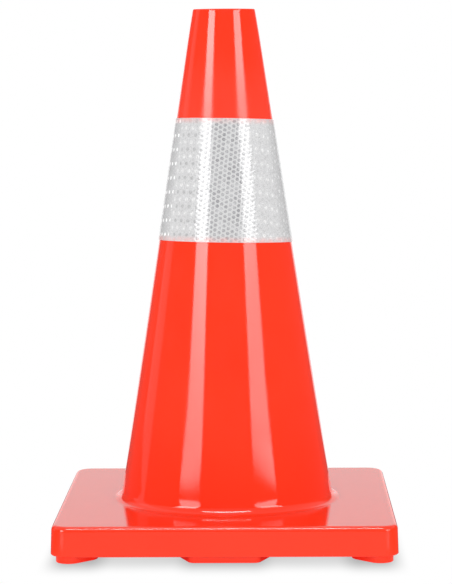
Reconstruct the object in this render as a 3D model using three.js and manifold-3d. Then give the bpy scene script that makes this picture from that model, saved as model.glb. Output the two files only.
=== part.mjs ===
// Traffic cone of the 18 inch class: a hollow moulded cone seated in a ribbed square base,
// eight standing pads under the base, and a slip-on reflective collar of three layers.
// Millimetres, +Z up. The origin is the centre of the footprint on the ground, front is -Y.
import * as THREE from 'three';
import { mergeVertices } from 'three/addons/utils/BufferGeometryUtils.js';
import Module from 'manifold-3d';

const wasm = await Module();
wasm.setup();

// Driving dimensions.
const totalHeight = 457.2;
const baseWidth = 287; // across the flats, at the top plate
const baseHeight = 31.3; // ground to the top of the plate
const footHeight = 6.3; // the pads hold the skirt this far off the ground
const coneFootRadius = 93; // where the flank would meet the plate without its fillet
const coneTopRadius = 27.4; // where the flank would end without its draw towards the tip
const coneHollow = 0.55; // how far the flank sags inside a straight line, at mid height
const tipDraw = 0.5; // the flank closes in by this much more over the last part of its height
const tipDrawHeight = 40;
const coneWall = 3;
const rimRadius = 8.5; // the flank curves in a little below the flat cut top
const rimEndLean = THREE.MathUtils.degToRad(22);
const roundSegments = 72; // every turned piece has the same facets, so neighbours stay parallel

// Cone foot: a fillet flows into the plate, and a flange below it is trapped by the base.
const filletRadius = 8;
const flangeRadius = 118;
const flangeThickness = 2.2;
const fitGap = 0.3; // clearance around seated pieces

// Base.
const plateThickness = 4.6;
const skirtThickness = 3.6;
const skirtDraft = 0.8; // the skirt is this much wider at its lower edge, on each side
const baseCornerRadius = 14.5;
const topEdgeRounding = 4;
const lowerEdgeRounding = 1.3;
const ringWallThickness = 3;
const ringWallBottom = 9;
const ribThickness = 2.6;
const ribBottom = 12;
const ribCount = 16;
const ribInnerRadius = 96;

// Standing pads.
const cornerFootWidth = 22;
const cornerFootReach = 17; // between the centres of a corner pad's two rounded ends
const cornerFootInset = 14.5; // centre of the outer end, from both edges of the plate
const sideFootOuterWidth = 57.6;
const sideFootInnerWidth = 80.4;
const sideFootDepth = 30;
const sideFootInset = 5.8;
const sideFootRounding = 6;
const footEdgeRounding = 0.8;

// Reflective collar: a sleeve around the flank, sitting slightly askew.
const collarCentre = 309.7;
const collarHeight = 105.6;
const collarLeanRight = THREE.MathUtils.degToRad(1.1); // the +X side sits low
const collarLeanBack = THREE.MathUtils.degToRad(2.5); // the front edge sits high
const collarClearance = 0.15;
const backingThickness = 0.45;
const layerGap = 0.05;
const filmThickness = 0.3;
const filmMargin = 0.4; // backing left bare along both edges
const filmGapWidth = 14; // the film's two ends stop this far apart at the back
const seamStripWidth = 12;
const seamStripThickness = 0.5;

const halfWidth = baseWidth / 2;
const plateBottom = baseHeight - plateThickness;
const flankHeight = totalHeight - baseHeight;

// The flank's outer radius at height z.
function flankRadius(z) {
  const t = (z - baseHeight) / flankHeight;
  const straight = THREE.MathUtils.lerp(coneFootRadius, coneTopRadius, t);
  const nearTip = Math.max(0, 1 - (totalHeight - z) / tipDrawHeight);
  return straight - 4 * coneHollow * t * (1 - t) - tipDraw * nearTip * nearTip;
}

// Lean of the flank away from vertical, at the plate and at the tip.
const footLean = Math.atan((coneFootRadius - coneTopRadius + 4 * coneHollow) / flankHeight);
const tipLean = Math.atan(
  (coneFootRadius - coneTopRadius - 4 * coneHollow) / flankHeight + (2 * tipDraw) / tipDrawHeight,
);

// ---- Geometry helpers ----

function toSolid(geometry) {
  geometry.deleteAttribute('normal');
  geometry.deleteAttribute('uv');
  const merged = mergeVertices(geometry);
  const vertProperties = new Float32Array(merged.attributes.position.array);
  const triVerts = new Uint32Array(merged.index.array);
  return new wasm.Manifold(new wasm.Mesh({ numProp: 3, vertProperties, triVerts }));
}

function toGeometry(solid) {
  const mesh = solid.getMesh();
  const geometry = new THREE.BufferGeometry();
  geometry.setAttribute('position', new THREE.BufferAttribute(mesh.vertProperties, 3));
  geometry.setIndex(new THREE.BufferAttribute(mesh.triVerts, 1));
  geometry.computeVertexNormals();
  return geometry;
}

// Turns a closed profile of (radius, height) points around the Z axis.
function turned(profile) {
  const closed = [...profile, profile[0]];
  return new THREE.LatheGeometry(closed, roundSegments).rotateX(Math.PI / 2);
}

// A turned tube of constant radii between two heights.
function tube(innerRadius, outerRadius, bottom, top) {
  return turned([
    new THREE.Vector2(outerRadius, bottom),
    new THREE.Vector2(outerRadius, top),
    new THREE.Vector2(innerRadius, top),
    new THREE.Vector2(innerRadius, bottom),
  ]);
}

function disc(radius, bottom, top) {
  return turned([
    new THREE.Vector2(0, bottom),
    new THREE.Vector2(radius, bottom),
    new THREE.Vector2(radius, top),
    new THREE.Vector2(0, top),
  ]);
}

function box(low, high) {
  const size = high.clone().sub(low);
  const centre = low.clone().add(high).multiplyScalar(0.5);
  return new THREE.BoxGeometry(size.x, size.y, size.z).translate(centre.x, centre.y, centre.z);
}

// A closed skin through outlines of equal point count, listed from the bottom to the top.
function loft(levels) {
  const count = levels[0].outline.length;
  const positions = levels.flatMap(({ outline, z }) => outline.flatMap((p) => [p.x, p.y, z]));
  const index = [];
  for (let level = 0; level < levels.length - 1; level += 1) {
    for (let i = 0; i < count; i += 1) {
      const next = (i + 1) % count;
      const low = level * count;
      const high = low + count;
      index.push(low + i, low + next, high + next, low + i, high + next, high + i);
    }
  }
  const cap = THREE.ShapeUtils.triangulateShape(levels[0].outline, []);
  const lastLevel = (levels.length - 1) * count;
  for (const [a, b, c] of cap) {
    index.push(a, c, b);
    index.push(lastLevel + a, lastLevel + b, lastLevel + c);
  }
  const geometry = new THREE.BufferGeometry();
  geometry.setAttribute('position', new THREE.Float32BufferAttribute(positions, 3));
  geometry.setIndex(index);
  return geometry;
}

function onCircle(centre, radius, angle) {
  return new THREE.Vector2(Math.cos(angle), Math.sin(angle)).multiplyScalar(radius).add(centre);
}

// A convex polygon, anticlockwise, with each corner rounded by the same radius.
function roundedPolygon(corners, radius, cornerSteps = 4) {
  const points = [];
  corners.forEach((corner, i) => {
    const before = corners[(i + corners.length - 1) % corners.length];
    const after = corners[(i + 1) % corners.length];
    const toBefore = before.clone().sub(corner).normalize();
    const toAfter = after.clone().sub(corner).normalize();
    const halfAngle = Math.acos(toBefore.dot(toAfter)) / 2;
    const bisector = toBefore.clone().add(toAfter).normalize();
    const centre = corner.clone().addScaledVector(bisector, radius / Math.sin(halfAngle));
    const start = Math.atan2(toBefore.x, -toBefore.y);
    const sweep = Math.PI - 2 * halfAngle;
    for (let step = 0; step <= cornerSteps; step += 1) {
      const angle = start + (sweep * step) / cornerSteps;
      points.push(onCircle(centre, radius, angle));
    }
  });
  return points;
}

function roundedSquare(half, radius) {
  const corners = [
    new THREE.Vector2(-half, -half),
    new THREE.Vector2(half, -half),
    new THREE.Vector2(half, half),
    new THREE.Vector2(-half, half),
  ];
  return roundedPolygon(corners, radius, 6);
}

// ---- Cone ----

function coneProfile() {
  const filletReach = filletRadius * Math.tan((Math.PI / 2 - footLean) / 2);
  const filletCentre = new THREE.Vector2(coneFootRadius + filletReach, baseHeight + filletRadius);
  const flangeTop = plateBottom + flangeThickness;
  const points = [
    new THREE.Vector2(flangeRadius, plateBottom),
    new THREE.Vector2(flangeRadius, flangeTop),
    new THREE.Vector2(filletCentre.x, flangeTop),
  ];
  const filletSteps = 5;
  const filletSweep = Math.PI / 2 - footLean;
  for (let step = 0; step <= filletSteps; step += 1) {
    const angle = -Math.PI / 2 - (filletSweep * step) / filletSteps;
    points.push(onCircle(filletCentre, filletRadius, angle));
  }
  const flankSteps = 10;
  const flankStart = points.at(-1).y;
  const flankEnd = totalHeight - rimRadius * (Math.sin(rimEndLean) - Math.sin(tipLean));
  for (let step = 1; step <= flankSteps; step += 1) {
    const z = THREE.MathUtils.lerp(flankStart, flankEnd, step / flankSteps);
    points.push(new THREE.Vector2(flankRadius(z), z));
  }
  const rimCentre = onCircle(new THREE.Vector2(flankRadius(flankEnd), flankEnd), -rimRadius, tipLean);
  const rimSteps = 2;
  for (let step = 1; step <= rimSteps; step += 1) {
    points.push(onCircle(rimCentre, rimRadius, THREE.MathUtils.lerp(tipLean, rimEndLean, step / rimSteps)));
  }
  for (let step = 0; step <= flankSteps; step += 1) {
    const z = THREE.MathUtils.lerp(totalHeight, baseHeight, step / flankSteps);
    points.push(new THREE.Vector2(flankRadius(z) - coneWall, z));
  }
  points.push(new THREE.Vector2(coneFootRadius - coneWall, plateBottom));
  return { points, lipRadius: filletCentre.x };
}

const cone = coneProfile();

// ---- Base ----

// The skirt's outer half width at height z, from its draft.
function skirtHalf(z) {
  return halfWidth + (skirtDraft * (baseHeight - z)) / (baseHeight - footHeight);
}

// Outer skin of the base, with both edges rounded.
function baseBlock() {
  const steps = 4;
  const level = (z, inset) => ({
    z,
    outline: roundedSquare(skirtHalf(z) - inset, baseCornerRadius - inset),
  });
  const lower = [];
  const upper = [];
  for (let step = 0; step <= steps; step += 1) {
    const angle = (Math.PI / 2) * (step / steps);
    const lowerInset = lowerEdgeRounding * (1 - Math.sin(angle));
    const upperInset = topEdgeRounding * (1 - Math.cos(angle));
    lower.push(level(footHeight + lowerEdgeRounding * (1 - Math.cos(angle)), lowerInset));
    upper.push(level(baseHeight - topEdgeRounding * (1 - Math.sin(angle)), upperInset));
  }
  return toSolid(loft([...lower, ...upper]));
}

// A plain upright block with the base's rounded-square plan.
function squareBlock(inset, bottom, top) {
  const outline = roundedSquare(halfWidth - inset, baseCornerRadius - inset);
  return toSolid(loft([{ z: bottom, outline }, { z: top, outline }]));
}

function baseRibs() {
  let ribs = toSolid(tube(flangeRadius + fitGap, flangeRadius + fitGap + ringWallThickness,
    ringWallBottom, plateBottom));
  for (let i = 0; i < ribCount; i += 1) {
    const rib = box(
      new THREE.Vector3(ribInnerRadius, -ribThickness / 2, ribBottom),
      new THREE.Vector3(baseWidth, ribThickness / 2, plateBottom),
    );
    ribs = ribs.add(toSolid(rib.rotateZ((2 * Math.PI * i) / ribCount)));
  }
  return ribs;
}

// ---- Standing pads ----

// Plan of a corner pad: a bar with round ends on the diagonal towards (sideX, sideY).
function cornerFootOutline(sideX, sideY, inset = 0) {
  const radius = cornerFootWidth / 2 - inset;
  const outward = new THREE.Vector2(sideX, sideY).normalize();
  const outer = new THREE.Vector2(sideX, sideY).multiplyScalar(halfWidth - cornerFootInset);
  const inner = outer.clone().addScaledVector(outward, -cornerFootReach);
  const steps = 10;
  const points = [];
  for (const [centre, turn] of [[outer, 0], [inner, Math.PI]]) {
    for (let step = 0; step <= steps; step += 1) {
      const angle = outward.angle() + turn + Math.PI * (step / steps - 1 / 2);
      points.push(onCircle(centre, radius, angle));
    }
  }
  return points;
}

// Plan of a side pad: a rounded trapezium that widens inwards, turned to face one side.
function sideFootOutline(turn, inset = 0) {
  const outerEdge = -halfWidth + sideFootInset + inset;
  const innerEdge = -halfWidth + sideFootInset + sideFootDepth - inset;
  const corners = [
    new THREE.Vector2(-sideFootOuterWidth / 2 + inset, outerEdge),
    new THREE.Vector2(sideFootOuterWidth / 2 - inset, outerEdge),
    new THREE.Vector2(sideFootInnerWidth / 2 - inset, innerEdge),
    new THREE.Vector2(-sideFootInnerWidth / 2 + inset, innerEdge),
  ];
  const origin = new THREE.Vector2();
  return roundedPolygon(corners, sideFootRounding - inset, 5).map((p) => p.rotateAround(origin, turn));
}

const footOutlines = {
  corner_foot_front_left: (inset) => cornerFootOutline(-1, -1, inset),
  corner_foot_front_right: (inset) => cornerFootOutline(1, -1, inset),
  corner_foot_back_right: (inset) => cornerFootOutline(1, 1, inset),
  corner_foot_back_left: (inset) => cornerFootOutline(-1, 1, inset),
  side_foot_front: (inset) => sideFootOutline(0, inset),
  side_foot_right: (inset) => sideFootOutline(Math.PI / 2, inset),
  side_foot_back: (inset) => sideFootOutline(Math.PI, inset),
  side_foot_left: (inset) => sideFootOutline(-Math.PI / 2, inset),
};

// A pad, with its ground edge rounded.
function footGeometry(outlineAt) {
  const levels = [0, 1, 2].map((step) => {
    const angle = (Math.PI / 4) * step;
    return {
      z: footEdgeRounding * (1 - Math.cos(angle)),
      outline: outlineAt(footEdgeRounding * (1 - Math.sin(angle))),
    };
  });
  return loft([...levels, { z: footHeight, outline: outlineAt(0) }]);
}

// The base's solid mounting block above a pad.
function footBoss(outlineAt) {
  const outline = outlineAt(0);
  return toSolid(loft([{ z: footHeight, outline }, { z: plateBottom, outline }]));
}

function baseSolid() {
  const joinDepth = 0.5; // stiffening runs this far into the plate and skirt, to fuse with them
  const inside = squareBlock(skirtThickness, 0, plateBottom);
  const trimmed = squareBlock(skirtThickness - joinDepth, 0, plateBottom);
  let solid = baseBlock().subtract(inside).add(baseRibs().intersect(trimmed));
  for (const outlineAt of Object.values(footOutlines)) {
    solid = solid.add(footBoss(outlineAt));
  }
  const flangeTop = plateBottom + flangeThickness;
  const seat = toSolid(disc(flangeRadius + fitGap, plateBottom, flangeTop));
  const mouth = toSolid(disc(cone.lipRadius + fitGap, plateBottom, baseHeight + 1));
  return solid.subtract(seat).subtract(mouth);
}

// ---- Collar ----

// A sleeve that follows the flank, between two offsets outside it.
function sleeve(innerOffset, outerOffset) {
  const margin = 8;
  const bottom = collarCentre - collarHeight / 2 - margin;
  const top = collarCentre + collarHeight / 2 + margin;
  const steps = 2;
  const heights = Array.from({ length: steps + 1 }, (_, i) => THREE.MathUtils.lerp(bottom, top, i / steps));
  const outer = heights.map((z) => new THREE.Vector2(flankRadius(z) + outerOffset, z));
  const inner = heights.map((z) => new THREE.Vector2(flankRadius(z) + innerOffset, z)).reverse();
  return toSolid(turned([...outer, ...inner]));
}

// The tilted slab that trims a sleeve to the collar's two edges.
function askewSlab(margin) {
  const slab = new THREE.BoxGeometry(baseWidth, baseWidth, collarHeight - 2 * margin);
  slab.rotateY(collarLeanRight).rotateX(-collarLeanBack).translate(0, 0, collarCentre);
  return toSolid(slab);
}

// A full-height block at the back of the cone, as wide as asked.
function backSlot(width) {
  return toSolid(box(
    new THREE.Vector3(-width / 2, 0, 0),
    new THREE.Vector3(width / 2, baseWidth, totalHeight),
  ));
}

const backingOuter = collarClearance + backingThickness;
const filmInner = backingOuter + layerGap;

function collarBacking() {
  return sleeve(collarClearance, backingOuter).intersect(askewSlab(0));
}

function collarFilm() {
  const sheet = sleeve(filmInner, filmInner + filmThickness).intersect(askewSlab(filmMargin));
  return sheet.subtract(backSlot(filmGapWidth));
}

function collarSeamStrip() {
  const ring = sleeve(filmInner, filmInner + seamStripThickness).intersect(askewSlab(filmMargin));
  return ring.intersect(backSlot(seamStripWidth));
}

// ---- Materials and assembly ----

const orangePvc = new THREE.MeshStandardMaterial({ color: 0xfe432a, roughness: 0.22, metalness: 0 });
const whitePvc = new THREE.MeshStandardMaterial({ color: 0xf2f2f2, roughness: 0.45, metalness: 0 });
const prismFilm = new THREE.MeshStandardMaterial({ color: 0xdcdcdc, roughness: 0.15, metalness: 0.1 });
const seamTape = new THREE.MeshStandardMaterial({ color: 0xeeeeee, roughness: 0.3, metalness: 0 });

const trafficCone = new THREE.Group();

function addPiece(name, geometry, material) {
  const mesh = new THREE.Mesh(geometry, material.clone());
  mesh.name = name;
  trafficCone.add(mesh);
}

addPiece('cone_body', turned(cone.points), orangePvc);
addPiece('base', toGeometry(baseSolid()), orangePvc);
for (const [name, outlineAt] of Object.entries(footOutlines)) {
  addPiece(name, footGeometry(outlineAt), orangePvc);
}
addPiece('collar_backing', toGeometry(collarBacking()), whitePvc);
addPiece('collar_prism_film', toGeometry(collarFilm()), prismFilm);
addPiece('collar_seam_strip', toGeometry(collarSeamStrip()), seamTape);

export default trafficCone;
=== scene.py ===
"""Looks for the traffic cone: smooth moulded PVC skins, standing pads and a honeycomb prism collar.

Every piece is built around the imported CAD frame, in metres, and rides on one of its two bodies.
"""
import math
import random
from typing import NamedTuple

import bmesh
import bpy
from mathutils import Matrix, Vector, noise


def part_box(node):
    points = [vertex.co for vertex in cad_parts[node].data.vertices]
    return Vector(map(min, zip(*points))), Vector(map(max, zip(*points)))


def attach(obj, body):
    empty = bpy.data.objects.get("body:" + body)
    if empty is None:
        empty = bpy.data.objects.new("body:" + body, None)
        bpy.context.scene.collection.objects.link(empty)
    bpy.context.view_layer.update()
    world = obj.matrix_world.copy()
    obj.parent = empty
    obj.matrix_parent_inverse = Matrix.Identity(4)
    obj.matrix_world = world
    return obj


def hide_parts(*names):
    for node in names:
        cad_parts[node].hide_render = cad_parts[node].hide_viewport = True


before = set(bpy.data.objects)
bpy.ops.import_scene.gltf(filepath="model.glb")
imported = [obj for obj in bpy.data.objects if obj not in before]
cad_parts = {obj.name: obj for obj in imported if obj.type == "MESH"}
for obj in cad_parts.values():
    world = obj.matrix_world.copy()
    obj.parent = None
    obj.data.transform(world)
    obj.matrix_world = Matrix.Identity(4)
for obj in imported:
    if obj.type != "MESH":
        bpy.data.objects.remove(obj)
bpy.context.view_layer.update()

MM = 0.001
SAME_HEIGHT = 0.01 * MM  # points closer than this in height count as level with each other

# ---- Sizes: from the frame where a box states them, otherwise as in the CAD part ----

CONE_LOW, CONE_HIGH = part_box("cone_body")
BASE_LOW, BASE_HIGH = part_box("base")

TIP_Z = CONE_HIGH.z
FLANGE_Z = CONE_LOW.z  # also the underside of the base plate
FLANGE_RADIUS = CONE_HIGH.x
PLATE_Z = BASE_HIGH.z
SKIRT_Z = BASE_LOW.z  # also the top of the standing pads

FOOT_RADIUS = 93 * MM
TIP_RADIUS = 27.4 * MM
FLANK_HOLLOW = 0.55 * MM
TIP_DRAW = 0.5 * MM  # the flank closes in by this much more over the last part of its height
TIP_DRAW_HEIGHT = 40 * MM
WALL = 3 * MM
FILLET = 8 * MM
RIM_RADIUS = 8.5 * MM  # the flank curves in a little below the flat cut top
RIM_END_LEAN = math.radians(22)
INNER_RIM_ROUNDING = 0.6 * MM
FLANGE_THICKNESS = 2.2 * MM
FIT_GAP = 0.3 * MM

SKIRT_DRAFT = 0.8 * MM
SKIRT_HALF = BASE_HIGH.x - SKIRT_DRAFT  # half width at the top plate
SKIRT_WALL = 3.6 * MM
CORNER_RADIUS = 14.5 * MM
TOP_ROUNDING = 4 * MM
LOWER_ROUNDING = 1.3 * MM
PARTING_GAP = 0.02 * MM  # the line where the cone's lip meets the plate

RING_RADIUS = FLANGE_RADIUS + FIT_GAP
RING_WALL = 3 * MM
RING_Z = 9 * MM
RIB_COUNT = 16
RIB_THICKNESS = 2.6 * MM
RIB_Z = 12 * MM
RIB_INNER_RADIUS = 96 * MM
RIB_ROUNDING = 0.7 * MM
JOIN_DEPTH = 0.4 * MM  # stiffening runs this far into the skirt and plate

CORNER_FOOT_WIDTH = 22 * MM
CORNER_FOOT_REACH = 17 * MM
CORNER_FOOT_INSET = 14.5 * MM
SIDE_FOOT_OUTER_WIDTH = 57.6 * MM
SIDE_FOOT_INNER_WIDTH = 80.4 * MM
SIDE_FOOT_DEPTH = 30 * MM
SIDE_FOOT_INSET = 5.8 * MM
SIDE_FOOT_ROUNDING = 6 * MM
FOOT_EDGE_ROUNDING = 0.8 * MM

COLLAR_CENTRE = 309.7 * MM
COLLAR_HEIGHT = 105.6 * MM
COLLAR_LEAN_RIGHT = math.radians(1.1)
COLLAR_LEAN_BACK = math.radians(2.5)
BACKING_INNER = 0.15 * MM
BACKING_OUTER = 0.6 * MM
FILM_INNER = 0.65 * MM
FILM_OUTER = 0.95 * MM
FILM_MARGIN = 0.4 * MM
FILM_GAP = 14 * MM
SEAM_WIDTH = 12 * MM
SEAM_OUTER = 1.15 * MM


def flank_radius(z):
    """Outer radius of the cone's flank at height z."""
    t = (z - PLATE_Z) / (TIP_Z - PLATE_Z)
    near_tip = max(0, 1 - (TIP_Z - z) / TIP_DRAW_HEIGHT)
    straight = FOOT_RADIUS + (TIP_RADIUS - FOOT_RADIUS) * t
    return straight - 4 * FLANK_HOLLOW * t * (1 - t) - TIP_DRAW * near_tip * near_tip


FLANK_HEIGHT = TIP_Z - PLATE_Z
FOOT_LEAN = math.atan((FOOT_RADIUS - TIP_RADIUS + 4 * FLANK_HOLLOW) / FLANK_HEIGHT)
TIP_SLOPE = (FOOT_RADIUS - TIP_RADIUS - 4 * FLANK_HOLLOW) / FLANK_HEIGHT
TIP_LEAN = math.atan(TIP_SLOPE + 2 * TIP_DRAW / TIP_DRAW_HEIGHT)
LIP_RADIUS = FOOT_RADIUS + FILLET * math.tan((math.pi / 2 - FOOT_LEAN) / 2)


# ---- Mesh helpers ----

SHARP_ANGLE = math.radians(32)
FILM_SHARP_ANGLE = math.radians(40)


def new_object(name, vertices, faces, sharp_angle=SHARP_ANGLE):
    """A smooth-shaded mesh object whose edges above the given angle stay crisp."""
    mesh = bpy.data.meshes.new(name)
    mesh.from_pydata([tuple(v) for v in vertices], [], faces)
    mesh.validate()
    mesh.update()
    mesh.shade_smooth()
    mesh.set_sharp_from_angle(angle=sharp_angle)
    obj = bpy.data.objects.new(name, mesh)
    bpy.context.scene.collection.objects.link(obj)
    return obj


def arc(centre, radius, start, end, steps):
    """Points along an arc in a plane; angles in degrees."""
    points = []
    for i in range(steps + 1):
        a = math.radians(start + (end - start) * i / steps)
        points.append((centre[0] + radius * math.cos(a), centre[1] + radius * math.sin(a)))
    return points


def ring_faces(rings, count, closed=True):
    """Quads between consecutive rings of equal point count, and from the last to the first if closed."""
    faces = []
    for r in range(rings if closed else rings - 1):
        low = r * count
        high = ((r + 1) % rings) * count
        for i in range(count):
            j = (i + 1) % count
            faces.append((low + i, low + j, high + j, high + i))
    return faces


def revolve(name, profile, segments, wobble=None):
    """A closed (radius, height) profile turned around Z. wobble(angle, z) is added to the radius."""
    vertices = []
    for r, z in profile:
        for i in range(segments):
            a = 2 * math.pi * i / segments
            reach = r + (wobble(a, z) if wobble else 0)
            vertices.append((reach * math.sin(a), -reach * math.cos(a), z))
    return new_object(name, vertices, ring_faces(len(profile), segments))


def loft(name, levels):
    """A closed skin through (outline, height) levels of equal point count, listed from the bottom up."""
    count = len(levels[0][0])
    vertices = [(x, y, z) for outline, z in levels for x, y in outline]
    faces = ring_faces(len(levels), count, closed=False)
    faces.append(tuple(reversed(range(count))))
    last = (len(levels) - 1) * count
    faces.append(tuple(range(last, last + count)))
    return new_object(name, vertices, faces)


def finish_piece(obj, body, slot, material, *nodes):
    """Stands the piece in for its CAD nodes and fixes it to a body."""
    obj.data.materials.clear()
    obj.data.materials.append(material)
    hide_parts(*nodes)
    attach(obj, body)


# ---- Cone body ----

CONE_SEGMENTS = 256
FLANK_STEPS = 64
BORE_STEPS = 40
FILLET_STEPS = 20
RIM_STEPS = 6
INNER_RIM_STEPS = 5
WOBBLE = 0.03 * MM
WOBBLE_AROUND = 2.2  # how fast the unevenness changes around the flank
WOBBLE_UP = 9  # and with each metre of height


def moulding_wobble(a, z):
    """The faint unevenness of a moulded flank, a few hundredths of a millimetre."""
    point = Vector((WOBBLE_AROUND * math.cos(a), WOBBLE_AROUND * math.sin(a), z * WOBBLE_UP))
    return WOBBLE * noise.noise(point)


def cone_profile():
    """The shell's section as (radius, height): flange, fillet, flank, rim and back down the bore."""
    flange_top = FLANGE_Z + FLANGE_THICKNESS
    lip = LIP_RADIUS - PARTING_GAP
    points = [(FLANGE_RADIUS, FLANGE_Z), (FLANGE_RADIUS, flange_top), (lip, flange_top)]
    fillet = arc((lip, PLATE_Z + FILLET), FILLET, -90, -180 + math.degrees(FOOT_LEAN), FILLET_STEPS)
    points += fillet
    rim_centre = TIP_Z - RIM_RADIUS * math.sin(RIM_END_LEAN)
    flank_start, flank_end = fillet[-1][1], rim_centre + RIM_RADIUS * math.sin(TIP_LEAN)
    for i in range(1, FLANK_STEPS + 1):
        z = flank_start + (flank_end - flank_start) * i / FLANK_STEPS
        points.append((flank_radius(z), z))
    rim_axis = flank_radius(flank_end) - RIM_RADIUS * math.cos(TIP_LEAN)
    leans = (math.degrees(TIP_LEAN), math.degrees(RIM_END_LEAN))
    points += arc((rim_axis, rim_centre), RIM_RADIUS, *leans, RIM_STEPS)[1:]
    bore_top = TIP_Z - INNER_RIM_ROUNDING
    inner_centre = flank_radius(TIP_Z) - WALL + INNER_RIM_ROUNDING
    points += arc((inner_centre, bore_top), INNER_RIM_ROUNDING, 90, 180, INNER_RIM_STEPS)
    for i in range(1, BORE_STEPS + 1):
        z = bore_top + (PLATE_Z - bore_top) * i / BORE_STEPS
        points.append((flank_radius(z) - WALL, z))
    points.append((FOOT_RADIUS - WALL, FLANGE_Z))
    return points


def build_cone_body(material):
    cone = revolve("moulded_cone", cone_profile(), CONE_SEGMENTS, moulding_wobble)
    finish_piece(cone, "cone", "cone_pvc", material, "cone_body")


# ---- Base ----

BASE_POINTS = 360
PLATE_STEPS = 24
PLATE_SHARE = 0.996  # the plate's last ring stops at this share of the way to the top rounding
TOP_ROUNDING_STEPS = 10
LOWER_ROUNDING_STEPS = 6
RING_SEGMENTS = 144
RING_ROUNDING_STEPS = 4
SINK_DEPTH = 0.012 * MM
SINK_SCALE = 14  # waves per metre
SINK_FADE = 12 * MM


def rounded_square_reach(a, half, radius):
    """Distance from the centre to a rounded square's outline, in direction a (from -Y towards +X)."""
    dx, dy = math.sin(a), -math.cos(a)
    inner = half - radius
    reach = half / max(abs(dx), abs(dy))
    if min(abs(dx), abs(dy)) * reach > inner:
        along = (abs(dx) + abs(dy)) * inner
        reach = along + math.sqrt(along * along - 2 * inner * inner + radius * radius)
    return reach


def base_angles():
    return [2 * math.pi * (i + 0.5) / BASE_POINTS for i in range(BASE_POINTS)]


def square_ring(half, radius):
    points = []
    for a in base_angles():
        reach = rounded_square_reach(a, half, radius)
        points.append((reach * math.sin(a), -reach * math.cos(a)))
    return points


def circle_ring(radius):
    return [(radius * math.sin(a), -radius * math.cos(a)) for a in base_angles()]


def skirt_half(z):
    return SKIRT_HALF + SKIRT_DRAFT * (PLATE_Z - z) / (PLATE_Z - SKIRT_Z)


def plate_sink(x, y):
    """How far the plate dips from cooling: a slow waviness that fades out towards the edges."""
    to_edge = SKIRT_HALF - TOP_ROUNDING - max(abs(x), abs(y))
    from_mouth = math.hypot(x, y) - LIP_RADIUS
    fade = max(0, min(1, to_edge / SINK_FADE, from_mouth / SINK_FADE))
    return SINK_DEPTH * fade * (1 + noise.noise(Vector((x * SINK_SCALE, y * SINK_SCALE, 0))))


def base_rings():
    """The base's skin as (outline, height) rings: seat, mouth, plate, outer skirt, and back inside."""
    mouth = LIP_RADIUS + PARTING_GAP
    seat_top = FLANGE_Z + FLANGE_THICKNESS
    rings = [
        (circle_ring(RING_RADIUS), FLANGE_Z),
        (circle_ring(RING_RADIUS), seat_top),
        (circle_ring(mouth), seat_top),
        (circle_ring(mouth), PLATE_Z),
    ]
    top_half = SKIRT_HALF - TOP_ROUNDING
    mouth_outline = circle_ring(mouth)
    edge_outline = square_ring(top_half, CORNER_RADIUS - TOP_ROUNDING)
    for i in range(1, PLATE_STEPS + 1):
        t = PLATE_SHARE * i / PLATE_STEPS
        blended = [(ax + (bx - ax) * t, ay + (by - ay) * t)
                   for (ax, ay), (bx, by) in zip(mouth_outline, edge_outline)]
        rings.append((blended, PLATE_Z))
    top_centre = (-TOP_ROUNDING, PLATE_Z - TOP_ROUNDING)
    for out, z in arc(top_centre, TOP_ROUNDING, 90, 0, TOP_ROUNDING_STEPS):
        rings.append((square_ring(skirt_half(z) + out, CORNER_RADIUS + out), z))
    lower_centre = (-LOWER_ROUNDING, SKIRT_Z + LOWER_ROUNDING)
    for out, z in arc(lower_centre, LOWER_ROUNDING, 0, -90, LOWER_ROUNDING_STEPS):
        rings.append((square_ring(skirt_half(z) + out, CORNER_RADIUS + out), z))
    inner_outline = square_ring(SKIRT_HALF - SKIRT_WALL, CORNER_RADIUS - SKIRT_WALL)
    rings.append((inner_outline, SKIRT_Z))
    rings.append((inner_outline, FLANGE_Z))
    return rings


def base_skin():
    rings = base_rings()
    vertices = []
    for outline, z in rings:
        on_plate = abs(z - PLATE_Z) < SAME_HEIGHT
        vertices += [(x, y, z - plate_sink(x, y) * on_plate) for x, y in outline]
    return new_object("moulded_base", vertices, ring_faces(len(rings), BASE_POINTS))


def ring_wall():
    """The round wall under the plate, just outside the cone's flange."""
    outer = RING_RADIUS + RING_WALL
    rounding = RIB_ROUNDING
    low = RING_Z + rounding
    profile = [(outer, low), (outer, FLANGE_Z + JOIN_DEPTH), (RING_RADIUS, FLANGE_Z + JOIN_DEPTH)]
    profile += arc((RING_RADIUS + rounding, low), rounding, 180, 270, RING_ROUNDING_STEPS)
    profile += arc((outer - rounding, low), rounding, 270, 350, RING_ROUNDING_STEPS)
    return revolve("ring_wall", profile, RING_SEGMENTS)


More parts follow.
